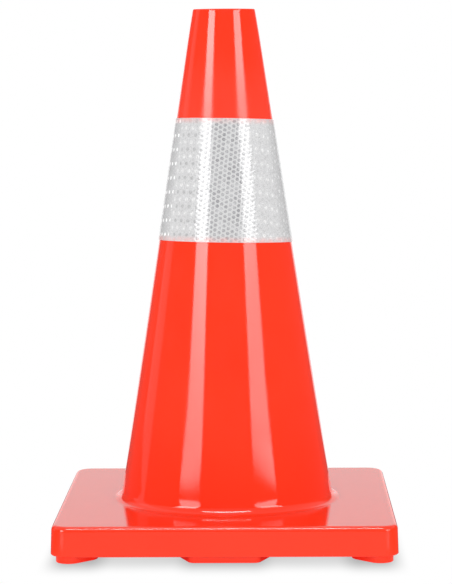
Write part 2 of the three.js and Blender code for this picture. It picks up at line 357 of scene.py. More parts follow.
def rib(turn):
    """A radial rib whose lower edges are rounded, from under the cone's flange out to the skirt."""
    reach = rounded_square_reach(turn, SKIRT_HALF - SKIRT_WALL, CORNER_RADIUS - SKIRT_WALL) + JOIN_DEPTH
    step = RING_RADIUS + RIB_ROUNDING
    side = [(RIB_INNER_RADIUS, RIB_Z), (reach, RIB_Z), (reach, FLANGE_Z + JOIN_DEPTH)]
    side += [(step, FLANGE_Z + JOIN_DEPTH), (step, FLANGE_Z), (RIB_INNER_RADIUS, FLANGE_Z)]
    count = len(side)
    vertices = [(RIB_THICKNESS / 2 * end, -r, z) for end in (1, -1) for r, z in side]
    faces = [tuple(range(count)), tuple(reversed(range(count, 2 * count)))]
    faces += [(i, i + count, (i + 1) % count + count, (i + 1) % count) for i in range(count)]
    obj = new_object("rib", vertices, faces)
    bm = bmesh.new()
    bm.from_mesh(obj.data)
    bmesh.ops.recalc_face_normals(bm, faces=bm.faces)
    low_edges = [e for e in bm.edges if all(v.co.z < RIB_Z + SAME_HEIGHT for v in e.verts)]
    bmesh.ops.bevel(bm, geom=low_edges, offset=RIB_ROUNDING, segments=3, affect="EDGES", profile=0.5)
    bmesh.ops.rotate(bm, verts=bm.verts, matrix=Matrix.Rotation(turn, 3, "Z"))
    bm.to_mesh(obj.data)
    bm.free()
    return obj


def apply_modifiers(obj):
    """Makes the result of the object's modifiers its mesh."""
    graph = bpy.context.evaluated_depsgraph_get()
    obj.data = bpy.data.meshes.new_from_object(obj.evaluated_get(graph))
    obj.modifiers.clear()


def unite(target, others):
    """Joins overlapping solids to the target and removes them, then evens out the shading."""
    for other in others:
        join = target.modifiers.new("join", "BOOLEAN")
        join.operation = "UNION"
        join.solver = "MANIFOLD"
        join.object = other
        apply_modifiers(target)
        bpy.data.objects.remove(other)
    target.data.shade_smooth()
    target.data.set_sharp_from_angle(angle=SHARP_ANGLE)
    even_normals = target.modifiers.new("even_normals", "WEIGHTED_NORMAL")
    even_normals.keep_sharp = True
    apply_modifiers(target)


def foot_block(name, outline_at):
    """The base's solid block above a standing pad."""
    outline = outline_at(0)
    return loft(name, [(outline, SKIRT_Z), (outline, FLANGE_Z + JOIN_DEPTH)])


def build_base(material):
    base = base_skin()
    stiffening = [ring_wall()]
    stiffening += [rib(2 * math.pi * i / RIB_COUNT) for i in range(RIB_COUNT)]
    stiffening += [foot_block(name + "_block", outline_at) for name, outline_at in FEET.items()]
    unite(base, stiffening)
    finish_piece(base, "cone", "base_pvc", material, "base")


# ---- Standing pads ----

BAR_END_STEPS = 24
SIDE_FOOT_STEPS = 8
GROUND_EDGE_STEPS = 5


def corner_foot_outline(side_x, side_y, inset):
    """A bar with round ends, on the diagonal towards (side_x, side_y)."""
    radius = CORNER_FOOT_WIDTH / 2 - inset
    outward = math.atan2(side_y, side_x)
    outer = SKIRT_HALF - CORNER_FOOT_INSET
    inner = outer - CORNER_FOOT_REACH / math.sqrt(2)
    points = []
    for place, turn in ((outer, 0), (inner, 180)):
        start = math.degrees(outward) + turn - 90
        points += arc((side_x * place, side_y * place), radius, start, start + 180, BAR_END_STEPS)
    return points


def rounded_polygon(corners, radius, steps):
    """An anticlockwise convex polygon with rounded corners."""
    points = []
    for i, corner in enumerate(corners):
        here = Vector(corner)
        to_before = (Vector(corners[i - 1]) - here).normalized()
        to_after = (Vector(corners[(i + 1) % len(corners)]) - here).normalized()
        half_angle = to_before.angle(to_after) / 2
        centre = here + (to_before + to_after).normalized() * radius / math.sin(half_angle)
        start = math.degrees(math.atan2(to_before.x, -to_before.y))
        points += arc(centre, radius, start, start + 180 - math.degrees(2 * half_angle), steps)
    return points


def side_foot_outline(quarter_turns, inset):
    """A trapezium with rounded corners that widens inwards, turned to face one side."""
    outer_edge = -SKIRT_HALF + SIDE_FOOT_INSET + inset
    inner_edge = -SKIRT_HALF + SIDE_FOOT_INSET + SIDE_FOOT_DEPTH - inset
    outer_half = SIDE_FOOT_OUTER_WIDTH / 2 - inset
    inner_half = SIDE_FOOT_INNER_WIDTH / 2 - inset
    corners = [(-outer_half, outer_edge), (outer_half, outer_edge)]
    corners += [(inner_half, inner_edge), (-inner_half, inner_edge)]
    turn = Matrix.Rotation(quarter_turns * math.pi / 2, 2)
    outline = rounded_polygon(corners, SIDE_FOOT_ROUNDING - inset, SIDE_FOOT_STEPS)
    return [tuple(turn @ Vector(p)) for p in outline]


FEET = {
    "corner_foot_front_left": lambda inset: corner_foot_outline(-1, -1, inset),
    "corner_foot_front_right": lambda inset: corner_foot_outline(1, -1, inset),
    "corner_foot_back_right": lambda inset: corner_foot_outline(1, 1, inset),
    "corner_foot_back_left": lambda inset: corner_foot_outline(-1, 1, inset),
    "side_foot_front": lambda inset: side_foot_outline(0, inset),
    "side_foot_right": lambda inset: side_foot_outline(1, inset),
    "side_foot_back": lambda inset: side_foot_outline(2, inset),
    "side_foot_left": lambda inset: side_foot_outline(3, inset),
}


def build_foot(node, outline_at, material):
    """A pad with a rounded ground edge and a slightly eased joint line under the base."""
    joint_ease = 0.15 * MM
    edge_centre = (FOOT_EDGE_ROUNDING, FOOT_EDGE_ROUNDING)
    ground_edge = arc(edge_centre, FOOT_EDGE_ROUNDING, 270, 180, GROUND_EDGE_STEPS)
    levels = [(outline_at(inset), z) for inset, z in ground_edge]
    levels.append((outline_at(0), SKIRT_Z - joint_ease))
    levels.append((outline_at(joint_ease), SKIRT_Z))
    pad = loft(node.replace("foot", "pad"), levels)
    finish_piece(pad, "cone", "pad_pvc", material, node)


# ---- Collar ----

COLLAR_SEGMENTS = 240
SEAM_STEPS = 20
BAND_STEPS = 24
EDGE_RAG = 0.12 * MM
RAG_AROUND = 3.5  # how fast the cut edge wanders around the collar
TOP_RAG_SEED = 1
LOW_RAG_SEED = 7


def collar_normal():
    """Normal of the collar's tilted edge planes."""
    lean = Matrix.Rotation(-COLLAR_LEAN_BACK, 3, "X") @ Matrix.Rotation(COLLAR_LEAN_RIGHT, 3, "Y")
    return lean @ Vector((0, 0, 1))


COLLAR_NORMAL = collar_normal()


def collar_edge_z(a, radius, along):
    """Height at azimuth a (from -Y towards +X) of the plane `along` above the collar's centre."""
    x, y = radius * math.sin(a), -radius * math.cos(a)
    return COLLAR_CENTRE + (along - COLLAR_NORMAL.x * x - COLLAR_NORMAL.y * y) / COLLAR_NORMAL.z


def edge_rag(a, seed):
    """The cut edge of the vinyl is not quite straight."""
    point = Vector((RAG_AROUND * math.cos(a), RAG_AROUND * math.sin(a), seed))
    return EDGE_RAG * noise.noise(point)


def collar_point(a, along, offset):
    """A point on the collar at azimuth a, `along` above its centre plane, outside the flank by offset."""
    z = collar_edge_z(a, flank_radius(COLLAR_CENTRE), along)
    z = collar_edge_z(a, flank_radius(z), along)
    r = flank_radius(z) + offset
    return (r * math.sin(a), -r * math.cos(a), z)


def band_section(low, high, inner, outer):
    """Section of a strip with rounded edges: (along, offset, share of the way to the top) points."""
    rounding = (outer - inner) / 2
    middle = (outer + inner) / 2
    top, bottom = high - rounding, low + rounding
    turns = [math.radians(45 * i) for i in range(5)]
    shares = [1 - i / BAND_STEPS for i in range(1, BAND_STEPS)]
    section = [(top + rounding * math.sin(t), middle + rounding * math.cos(t), 1) for t in reversed(turns)]
    section += [(bottom + (top - bottom) * share, outer, share) for share in shares]
    section += [(bottom - rounding * math.sin(t), middle + rounding * math.cos(t), 0) for t in turns]
    section += [(bottom + (top - bottom) * share, inner, share) for share in reversed(shares)]
    return section


def band(name, low, high, inner, outer, angles, closed, rag=0):
    """A rounded-edge strip of the flank between two tilted planes; open strips get end caps."""
    section = band_section(low, high, inner, outer)
    count = len(section)
    vertices = []
    for a in angles:
        top_rag, low_rag = rag * edge_rag(a, TOP_RAG_SEED), rag * edge_rag(a, LOW_RAG_SEED)
        for along, offset, share in section:
            ragged = along + top_rag * share + low_rag * (1 - share)
            vertices.append(collar_point(a, ragged, offset))
    faces = ring_faces(len(angles), count, closed)
    if not closed:
        faces.append(tuple(reversed(range(count))))
        last = (len(angles) - 1) * count
        faces.append(tuple(range(last, last + count)))
    return new_object(name, vertices, faces)


def build_collar_backing(material):
    angles = [2 * math.pi * i / COLLAR_SEGMENTS for i in range(COLLAR_SEGMENTS)]
    half = COLLAR_HEIGHT / 2
    backing = band("vinyl_backing", -half, half, BACKING_INNER, BACKING_OUTER, angles, True, rag=1)
    finish_piece(backing, "collar", "collar_vinyl", material, "collar_backing")


def build_seam_strip(material):
    half_angle = SEAM_WIDTH / 2 / flank_radius(COLLAR_CENTRE)
    angles = [math.pi + half_angle * (2 * i / SEAM_STEPS - 1) for i in range(SEAM_STEPS + 1)]
    half = COLLAR_HEIGHT / 2 - FILM_MARGIN
    strip = band("welded_seam_strip", -half, half, FILM_INNER, SEAM_OUTER, angles, False)
    finish_piece(strip, "collar", "seam_vinyl", material, "collar_seam_strip")


# The film is a flat sheet of six-sided cells, laid out on the unrolled cone and then wrapped.
CELL_COLUMN = 3.68 * MM
CELL_PITCH = 4.08 * MM
CELL_TURN = math.radians(-5.8)
CELL_SHIFT = 2.2 * MM
WELD_SHARE = 0.83  # the weld line of a cell, as a share of the cell's size
CROWN_SHARE = 0.62
WELD_DEPTH = 0.042 * MM
CROWN_DOME = 0.01 * MM
BETWEEN_WELDS = 0.4  # the film between two weld lines is grey again
CELL_GROUP = 3  # rows repeat their prism angles in threes
TONE_LOW = 0.25  # a cell's tone is this, plus a random share of the next two
TONE_BY_CELL = 0.4
TONE_BY_COLUMN = 0.35
TONE_SEED = 11
CELL_COLUMNS = 52  # more than enough cells to each side of the front centre
CELL_ROWS = 36  # and above and below it
BACK_OVERLAP = 1.02  # cells are laid to this share of the way to the middle of the back, then trimmed
CORNER_GRID = 0.25 * MM  # cell corners that share a spot on this grid are one point
TRIM_DISTANCE = 1e-7
HEXAGON = ((2 / 3, 0), (1 / 3, 0.5), (-1 / 3, 0.5), (-2 / 3, 0), (-1 / 3, -0.5), (1 / 3, -0.5))
LOOK_LAYERS = ("weld", "tone", "glint")


class Unrolled:
    """The collar zone of the flank as a flat sheet: x to the right of front centre, y up."""

    low, high = COLLAR_CENTRE - COLLAR_HEIGHT / 2, COLLAR_CENTRE + COLLAR_HEIGHT / 2
    lean = math.atan((flank_radius(low) - flank_radius(high)) / (high - low))
    centre = (flank_radius(COLLAR_CENTRE) + FILM_INNER) / math.sin(lean)

    @classmethod
    def place(cls, x, y):
        """Azimuth and height of a sheet point."""
        down = cls.centre - y
        slant = math.hypot(x, down)
        azimuth = math.atan2(x, down) / math.sin(cls.lean)
        return azimuth, COLLAR_CENTRE + (cls.centre - slant) * math.cos(cls.lean)

    @classmethod
    def sheet(cls, azimuth, z):
        """Sheet point at an azimuth and height."""
        slant = cls.centre - (z - COLLAR_CENTRE) / math.cos(cls.lean)
        turn = azimuth * math.sin(cls.lean)
        return slant * math.sin(turn), cls.centre - slant * math.cos(turn)


def cell_centres():
    """(x, y, column, row) of every cell that may touch the collar."""
    reach = COLLAR_HEIGHT / 2 + 3 * CELL_PITCH
    half_turn = math.pi * BACK_OVERLAP
    turn = Matrix.Rotation(CELL_TURN, 2)
    for column in range(-CELL_COLUMNS, CELL_COLUMNS + 1):
        for row in range(-CELL_ROWS, CELL_ROWS + 1):
            stagger = 0.5 * (column % 2)
            x, y = turn @ Vector((column * CELL_COLUMN, (row + stagger) * CELL_PITCH + CELL_SHIFT))
            azimuth, z = Unrolled.place(x, y)
            tilt = collar_edge_z(azimuth, flank_radius(COLLAR_CENTRE), 0)
            if abs(azimuth) < half_turn and abs(z - tilt) < reach:
                yield x, y, column, row


def cell_glint(column, row):
    """1 for the cells that get a painted glint at the sides of the collar, -1 for the ones between them."""
    if column % 2 == 0 and row % CELL_GROUP == 0:
        return 1.0
    if column % 2 == 1 and row % CELL_GROUP == 1:
        return -1.0
    return 0.0


class FlatFilm:
    """The unrolled film as a bmesh, with the raised height and looks of each point in its layers."""

    thickness = FILM_OUTER - FILM_INNER

    def __init__(self):
        self.bm = bmesh.new()
        floats = self.bm.verts.layers.float
        self.layers = {key: floats.new(key) for key in ("lift", *LOOK_LAYERS)}
        self.corners = {}
        turn = Matrix.Rotation(CELL_TURN, 2)
        self.hexagon = [turn @ Vector((x * CELL_COLUMN, y * CELL_PITCH)) for x, y in HEXAGON]

    def point(self, x, y, lift, weld, tone, glint):
        vertex = self.bm.verts.new((x, y, 0))
        for key, value in (("lift", lift), ("weld", weld), ("tone", tone), ("glint", glint)):
            vertex[self.layers[key]] = value
        return vertex

    def shared_corner(self, x, y):
        """The point where three cells meet, made once."""
        column, row = round(x / CORNER_GRID), round(y / CORNER_GRID)
        for near in ((column + i, row + j) for i in (-1, 0, 1) for j in (-1, 0, 1)):
            if near in self.corners:
                return self.corners[near]
        corner = self.point(x, y, self.thickness - WELD_DEPTH, BETWEEN_WELDS, 0, 0)
        self.corners[column, row] = corner
        return corner

    def add_cell(self, x, y, tone, glint):
        """A six-sided cell: a sunk weld line inside its border, and a flat crown inside that."""
        def ring(share, lift, weld):
            return [self.point(x + h.x * share, y + h.y * share, lift, weld, tone, glint)
                    for h in self.hexagon]

        border = [self.shared_corner(x + h.x, y + h.y) for h in self.hexagon]
        weld = ring(WELD_SHARE, self.thickness - WELD_DEPTH, 1)
        crown = ring(CROWN_SHARE, self.thickness, 0)
        middle = self.point(x, y, self.thickness + CROWN_DOME, 0, tone, glint)
        for i in range(len(border)):
            j = (i + 1) % len(border)
            self.bm.faces.new((border[i], border[j], weld[j], weld[i]))
            self.bm.faces.new((weld[i], weld[j], crown[j], crown[i]))
            self.bm.faces.new((crown[i], crown[j], middle))


def flat_film():
    """All the cells, each with a tone of its own on top of its column's tone."""
    film = FlatFilm()
    chance = random.Random(TONE_SEED)
    column_tones = {}
    for x, y, column, row in cell_centres():
        column_tone = column_tones.setdefault(column, chance.random())
        tone = TONE_LOW + TONE_BY_CELL * chance.random() + TONE_BY_COLUMN * column_tone
        film.add_cell(x, y, tone, cell_glint(column, row))
    return film


def trim(bm, point, normal):
    """Cuts away the side that the normal points to."""
    geometry = bm.verts[:] + bm.edges[:] + bm.faces[:]
    bmesh.ops.bisect_plane(bm, geom=geometry, plane_co=point, plane_no=normal,
                           clear_outer=True, dist=TRIM_DISTANCE)


def trim_back_gap(bm):
    """Stops the flat film short of the middle of the back, at both ends."""
    for side in (-1, 1):
        ends = []
        for z in (Unrolled.low, Unrolled.high):
            azimuth = side * (math.pi - math.asin(FILM_GAP / 2 / flank_radius(z)))
            ends.append(Vector((*Unrolled.sheet(azimuth, z), 0)))
        along = ends[1] - ends[0]
        trim(bm, ends[0], Vector((along.y * side, -along.x * side, 0)))


FILM_HALF_HEIGHT = COLLAR_HEIGHT / 2 - FILM_MARGIN
FILM_CENTRE = Vector((0, 0, COLLAR_CENTRE))


def wrap_on_cone(bm):
    """Rolls the flat film onto the cone and trims it along the collar's tilted edges."""
    for vertex in bm.verts:
        azimuth, z = Unrolled.place(vertex.co.x, vertex.co.y)
        r = flank_radius(z) + FILM_INNER
        vertex.co = (r * math.sin(azimuth), -r * math.cos(azimuth), z)
    trim(bm, FILM_CENTRE + COLLAR_NORMAL * FILM_HALF_HEIGHT, COLLAR_NORMAL)
    trim(bm, FILM_CENTRE - COLLAR_NORMAL * FILM_HALF_HEIGHT, -COLLAR_NORMAL)
    bm.verts.index_update()


def thicken(bm, lift):
    """The wrapped film as a closed solid: the points lifted outwards, then the same points on the inside."""
    count = len(bm.verts)
    inner = [v.co.copy() for v in bm.verts]
    outer = [v.co + Vector((v.co.x, v.co.y, 0)).normalized() * v[lift] for v in bm.verts]
    front = [tuple(v.index for v in f.verts) for f in bm.faces]
    back = [tuple(i + count for i in reversed(f)) for f in front]
    rim = []
    for edge in bm.edges:
        if edge.is_boundary:
            loop = edge.link_loops[0]
            a, b = loop.vert.index, loop.link_loop_next.vert.index
            rim.append((b, a, a + count, b + count))
    return new_object("prism_film", outer + inner, front + back + rim, FILM_SHARP_ANGLE)


def store(obj, key, values):
    """Keeps one number per point for the material to read."""
    attribute = obj.data.attributes.new(key, "FLOAT", "POINT")
    attribute.data.foreach_set("value", values)


def build_film(material):
    flat = flat_film()
    trim_back_gap(flat.bm)
    wrap_on_cone(flat.bm)
    film = thicken(flat.bm, flat.layers["lift"])
    for key in LOOK_LAYERS:
        store(film, key, [v[flat.layers[key]] for v in flat.bm.verts] * 2)
    from_centre = [abs((v.co - FILM_CENTRE).dot(COLLAR_NORMAL)) for v in flat.bm.verts]
    store(film, "to_edge", [FILM_HALF_HEIGHT - distance for distance in from_centre] * 2)
    flat.bm.free()
    finish_piece(film, "collar", "prism_film", material, "collar_prism_film")


# ---- Materials ----

WHITE = (1, 1, 1, 1)


def grey(level, cool=0.005):
    """A grey with `cool` more blue in it."""
    return (level, level, level + cool, 1)


class Graph:
    """Adds shader nodes and links them by passing sockets as inputs."""

    def __init__(self, owner):
        owner.use_nodes = True
        self.tree = owner.node_tree
        self.tree.nodes.clear()

    def add(self, kind, inputs=None, **settings):
        node = self.tree.nodes.new("ShaderNode" + kind)
        for key, value in settings.items():
            setattr(node, key, value)
        for key, value in (inputs or {}).items():
            if isinstance(value, bpy.types.NodeSocket):
                self.tree.links.new(value, node.inputs[key])
            else:
                node.inputs[key].default_value = value
        return node

    def math(self, operation, a, b=0.0):
        return self.add("Math", {0: a, 1: b}, operation=operation).outputs[0]

    def plus(self, a, b):
        return self.math("ADD", a, b)

    def minus(self, a, b):
        return self.math("SUBTRACT", a, b)

    def times(self, a, b):
        return self.math("MULTIPLY", a, b)

    def ramp(self, value, from_low, from_high, to_low, to_high, smooth=True):
        inputs = {"Value": value, "From Min": from_low, "From Max": from_high}
        inputs.update({"To Min": to_low, "To Max": to_high})
        kind = "SMOOTHSTEP" if smooth else "LINEAR"
        return self.add("MapRange", inputs, interpolation_type=kind).outputs["Result"]

    def blend(self, share, a, b):
        """Mixes two colours or colour sockets."""
        return self.add("Mix", {0: share, 6: a, 7: b}, data_type="RGBA").outputs[2]

    def choose(self, share, a, b):
        """Mixes two numbers or number sockets."""
        return self.add("Mix", {0: share, 2: a, 3: b}, data_type="FLOAT").outputs[0]

    def tint(self, colour, level):
        """The colour times a grey level."""
        level = self.add("CombineColor", {0: level, 1: level, 2: level}).outputs[0]
        settings = {"data_type": "RGBA", "blend_type": "MULTIPLY"}
        return self.add("Mix", {0: 1.0, 6: colour, 7: level}, **settings).outputs[2]

    def xyz(self, vector):
        """The three parts of a vector."""
        parts = self.add("SeparateXYZ", {0: vector}).outputs
        return parts["X"], parts["Y"], parts["Z"]

    def place(self):
        return self.add("TexCoord").outputs["Object"]

    def noise(self, scale, detail=2.0):
        inputs = {"Vector": self.place(), "Scale": scale, "Detail": detail}
        return self.add("TexNoise", inputs).outputs["Fac"]

    def patches(self, scale, low, high, detail=2.0, edge=0.3):
        """Soft patches between two values; the larger the edge, the crisper the patches."""
        return self.ramp(self.noise(scale, detail), edge, 1 - edge, low, high)

    def attribute(self, key):
        return self.add("Attribute", attribute_name=key).outputs["Fac"]

    def bump(self, height, distance, strength=1.0):
        inputs = {"Height": height, "Strength": strength, "Distance": distance}
        return self.add("Bump", inputs).outputs["Normal"]

    def skin(self, **inputs):
        """A Principled surface; an input's name is written with underscores for its spaces."""
        inputs = {key.replace("_", " "): value for key, value in inputs.items()}
        self.surface(self.add("BsdfPrincipled", inputs).outputs["BSDF"])

    def surface(self, shader):
        self.add("OutputMaterial", {"Surface": shader})


PVC_TONE = 16  # noise scales, in cells per metre
PVC_POLISH = 55
PVC_GRAIN = 900
POLISH_CHANGE = 0.15  # how far the roughness strays from its middle, as a share
SCUFF = 0.12  # added roughness where the collar has slid up and down
SCUFF_END = TIP_Z - 12 * MM
FOOT_POLISH = 0.45  # the untouched foot of the cone has this share of the roughness
FOOT_POLISH_LOW = PLATE_Z + 15 * MM
FOOT_POLISH_HIGH = PLATE_Z + 75 * MM
FULL_GLOSS = 0.5
LEVEL_GLOSS = 0.008  # the gloss of level faces seen from behind
BEHIND = (0.05, 0.35)  # how far the direction to the viewer points to the back, from beside to behind
LEVEL = (0.85, 0.98)  # how far a face's normal points up, from tilted to level


def scuffed_polish(g, polish):
    """The cone's roughness: smooth at the foot, dull from the collar up and fading out near the tip."""
    z = g.xyz(g.place())[2]
    collar_low, collar_top = COLLAR_CENTRE - COLLAR_HEIGHT / 2, COLLAR_CENTRE + COLLAR_HEIGHT / 2
    above = g.ramp(z, collar_top, SCUFF_END, SCUFF, 0)
    below = g.ramp(z, collar_low, COLLAR_CENTRE, 0, 1)
    polish = g.times(polish, g.ramp(z, FOOT_POLISH_LOW, FOOT_POLISH_HIGH, FOOT_POLISH, 1))
    return g.plus(polish, g.times(above, below))


def gloss(g):
    """Full gloss, except that level faces hardly mirror the strip lights to a viewer behind the object."""
    geometry = g.add("NewGeometry").outputs
    viewer_y = g.xyz(geometry["Incoming"])[1]
    normal_z = g.xyz(geometry["Normal"])[2]
    from_behind = g.ramp(viewer_y, *BEHIND, 0, 1)
    level = g.ramp(normal_z, *LEVEL, 0, 1)
    return g.choose(g.times(from_behind, level), FULL_GLOSS, LEVEL_GLOSS)


def pvc(name, colour, shade, roughness, grain, scuffed=False):
    """Glossy moulded PVC: slow tone changes, uneven polish and a fine grain in the surface."""
    material = bpy.data.materials.new(name)
    g = Graph(material)
    tone = g.patches(PVC_TONE, 0, 1)
    low, high = roughness * (1 - POLISH_CHANGE), roughness * (1 + POLISH_CHANGE)
    polish = g.patches(PVC_POLISH, low, high, detail=4)
    if scuffed:
        polish = scuffed_polish(g, polish)
    g.skin(
        Base_Color=g.blend(tone, (*shade, 1), (*colour, 1)),
        Roughness=polish,
        IOR=1.5,
        Specular_IOR_Level=gloss(g),
        Normal=g.bump(g.noise(PVC_GRAIN, 3), grain),
    )
    return material


VINYL_TONE = 30
VINYL_GRAIN = 700
VINYL_SHADE = 0.95  # the darker patches, as a share of the colour


def vinyl(name, colour, roughness, line_scale, line_depth):
    """White sheet vinyl with a fine pressed texture."""
    material = bpy.data.materials.new(name)
    g = Graph(material)
    wave = {"Vector": g.place(), "Scale": line_scale, "Distortion": 1.5, "Detail": 2.0}
    lines = g.add("TexWave", wave, bands_direction="Z").outputs["Fac"]
    tone = g.patches(VINYL_TONE, 0, 1)
    darker = tuple(VINYL_SHADE * c for c in colour)
    g.skin(
        Base_Color=g.blend(tone, (*darker, 1), (*colour, 1)),
        Roughness=roughness,
        Normal=g.bump(g.plus(lines, g.noise(VINYL_GRAIN, 3)), line_depth),
    )
    return material


FILM_EDGE_RED_BLEED = (0.85, 0.42, 0.40, 1)  # painted red light of the cone, bleeding into the film at its edges
FILM_EDGE_SHARE = 0.62
FILM_EDGE_FADE = (0.5 * MM, 5.5 * MM)
FILM_EDGE_PATCHES = 170  # noise scales
FILM_MOTTLE = 1100
FILM_GRAIN = 2600
FILM_GRAIN_DEPTH = 0.004 * MM
OBLIQUE = (0.05, 0.17)  # how far the film turns away from the viewer: 0 is face on, 1 edge on
GRAZING = (0.42, 0.55)
WELD_FADE = (0.25, 0.9)


def side_cells(g, tone, grazing):
    """Painted glints at the collar's sides: every third cell darkens, then flashes white near edge on,
    mostly on the left; its neighbours are a little lighter.
    """
    glint = g.attribute("glint")
    to_side = g.xyz(g.add("NewGeometry").outputs["Normal"])[0]
    # painted light: the glints are stronger on the side that faces left, where the strip light is
    lit_side = g.ramp(to_side, -0.3, 0.3, 1, 0.25)
    flash = g.times(g.math("MAXIMUM", glint, 0.0), lit_side)
    beside_flash = g.math("MAXIMUM", g.times(glint, -1.0), 0.0)
    cell = g.blend(tone, grey(0.55), grey(0.62))
    cell = g.blend(flash, cell, grey(0.47))
    cell = g.blend(beside_flash, cell, grey(0.70, 0))
    grazing_cell = g.blend(flash, grey(0.56), WHITE)
    return g.blend(grazing, cell, grazing_cell)


def prism_film():
    """Silvery prism cells between light weld lines; oblique cells look lighter and some of them glint, both
    painted reflection.
    """
    material = bpy.data.materials.new("prism_film")
    g = Graph(material)
    # painted reflection: the cells and welds change colour as the film turns away from the viewer
    facing = g.add("LayerWeight", {"Blend": 0.5}).outputs["Facing"]
    oblique = g.ramp(facing, *OBLIQUE, 0, 1)
    grazing = g.ramp(facing, *GRAZING, 0, 1)
    tone = g.attribute("tone")
    front_cells = g.blend(tone, grey(0.24, 0.01), grey(0.54, 0.01))
    cells = g.blend(oblique, front_cells, side_cells(g, tone, grazing))
    cells = g.tint(cells, g.patches(FILM_MOTTLE, 0.82, 1.14, detail=1, edge=0.35))
    welds = g.blend(oblique, grey(0.72, 0), grey(0.60))
    welds = g.blend(grazing, welds, grey(0.50))
    colour = g.blend(g.ramp(g.attribute("weld"), *WELD_FADE, 0, 1), cells, welds)
    # painted red bleed near the film's edges, in patches
    near_edge = g.ramp(g.attribute("to_edge"), *FILM_EDGE_FADE, FILM_EDGE_SHARE, 0)
    patchy = g.patches(FILM_EDGE_PATCHES, 0.35, 1, edge=0.35)
    g.skin(
        Base_Color=g.blend(g.times(near_edge, patchy), colour, FILM_EDGE_RED_BLEED),
        Roughness=0.14,
        IOR=1.57,
        Normal=g.bump(g.noise(FILM_GRAIN, 2), FILM_GRAIN_DEPTH, 0.6),
    )
    return material


# ---- Stage ----

CARD_LEVEL = 0.12  # how bright the dark cards around the set look in reflections
CEILING_LEVEL = 0.5
WALL_SPREAD = math.radians(24)  # half the width of the white wall behind the object
WALL_COLOUR = (0.62, 1, 1, 1)  # the wall is a cool grey above the table
FLOOR_GLOSS = 0.2  # how strongly the table mirrors the strip lights
UNDER_COLOUR = (0.95, 0.12, 0.3, 1)  # light under the base has bounced off its red plastic


def sine(degrees):
    return math.sin(math.radians(degrees))


class Strip(NamedTuple):
    """A tall strip light by direction: azimuths in degrees at STRIP_LEVEL, heights as sin(elevation)."""

    centre: float
    half_width: float
    lean: float  # how fast the centre drifts with height above STRIP_LEVEL
    splay: float  # the extra drift below STRIP_LEVEL
    flare: float  # how fast the half width grows with height
    foot: float  # height of the lower end straight ahead
    foot_fall: float  # how fast the lower end drops with azimuth
    dim_height: float  # up to here the radiance is STRIP_DIM_RADIANCE
    radiance: float  # from STRIP_BRIGHT_HEIGHT up


STRIP_LEVEL = sine(8)
STRIP_BRIGHT_HEIGHT = sine(14)
STRIP_FADE = sine(21)
STRIP_TOP = sine(33)
STRIP_DIM_RADIANCE = 4.9
STRIP_SIDE_BLUR = 0.012  # half the width of the soft sides, in radians
STRIP_FOOT_BLUR = 0.002
STRIPS = (
    Strip(-38.2, 10.2, -0.6, 3.0, 0.2, 0.1565, 0.06, sine(8.4), 10.6),
    Strip(42.4, 11.3, 0.65, -2.5, 0.15, 0.185, 0.0875, sine(10), 8.1),
)


def sector(g, x, y, azimuth, half_spread, soft=0.06):
    """1 where the direction (x, y) lies within half_spread of the azimuth, else 0."""
    dot = g.plus(g.times(x, math.sin(azimuth)), g.times(y, -math.cos(azimuth)))
    reach = g.math("SQRT", g.plus(g.times(x, x), g.times(y, y)))
    turn = g.math("ARCCOSINE", g.math("DIVIDE", dot, reach))
    return g.ramp(turn, half_spread - soft / 2, half_spread + soft / 2, 1, 0)


def strip_light(g, azimuth, z, strip):
    """Radiance of one strip light in a direction."""
    raised = g.minus(z, STRIP_LEVEL)
    drift = g.plus(g.times(raised, strip.lean), g.times(g.math("MINIMUM", raised, 0.0), strip.splay))
    offset = g.minus(g.minus(azimuth, math.radians(strip.centre)), drift)
    half_width = g.plus(g.times(raised, strip.flare), math.radians(strip.half_width))
    beyond = g.minus(g.math("ABSOLUTE", offset), half_width)
    across = g.ramp(beyond, -STRIP_SIDE_BLUR, STRIP_SIDE_BLUR, 1, 0)
    fall = g.times(g.math("ABSOLUTE", azimuth), strip.foot_fall)
    above_foot = g.plus(g.minus(z, strip.foot), fall)
    from_foot = g.ramp(above_foot, -STRIP_FOOT_BLUR, STRIP_FOOT_BLUR, 0, 1)
    to_top = g.ramp(z, STRIP_FADE, STRIP_TOP, 1, 0)
    radiance = g.ramp(z, strip.dim_height, STRIP_BRIGHT_HEIGHT, STRIP_DIM_RADIANCE, strip.radiance,
                      smooth=False)
    return g.times(g.times(across, g.times(from_foot, to_top)), radiance)


def strip_lights(g, x, y, z):
    """Radiance of the strip lights in the direction (x, y, z)."""
    azimuth = g.math("ARCTAN2", x, g.times(y, -1.0))  # from -Y towards +X
    return g.plus(*(strip_light(g, azimuth, z, strip) for strip in STRIPS))


# The floor's shadows: how dark they are, and from where to where they fade, from the base's edge outwards.
EDGE_SHADOW = 0.32
EDGE_SHADOW_REACH = (-30 * MM, 40 * MM)
PAD_SHADOW = 0.2
PAD_SHADOW_REACH = (-10 * MM, 52 * MM)
SHADOW_SIDE = (-14 * MM, 10 * MM)
MIDDLE_PAD_END = (24 * MM, 44 * MM)  # distances from the middle of a side
CORNER_PAD_START = (92 * MM, 112 * MM)
CREVICE_SHADOW = 0.06
CREVICE_REACH = 22 * MM


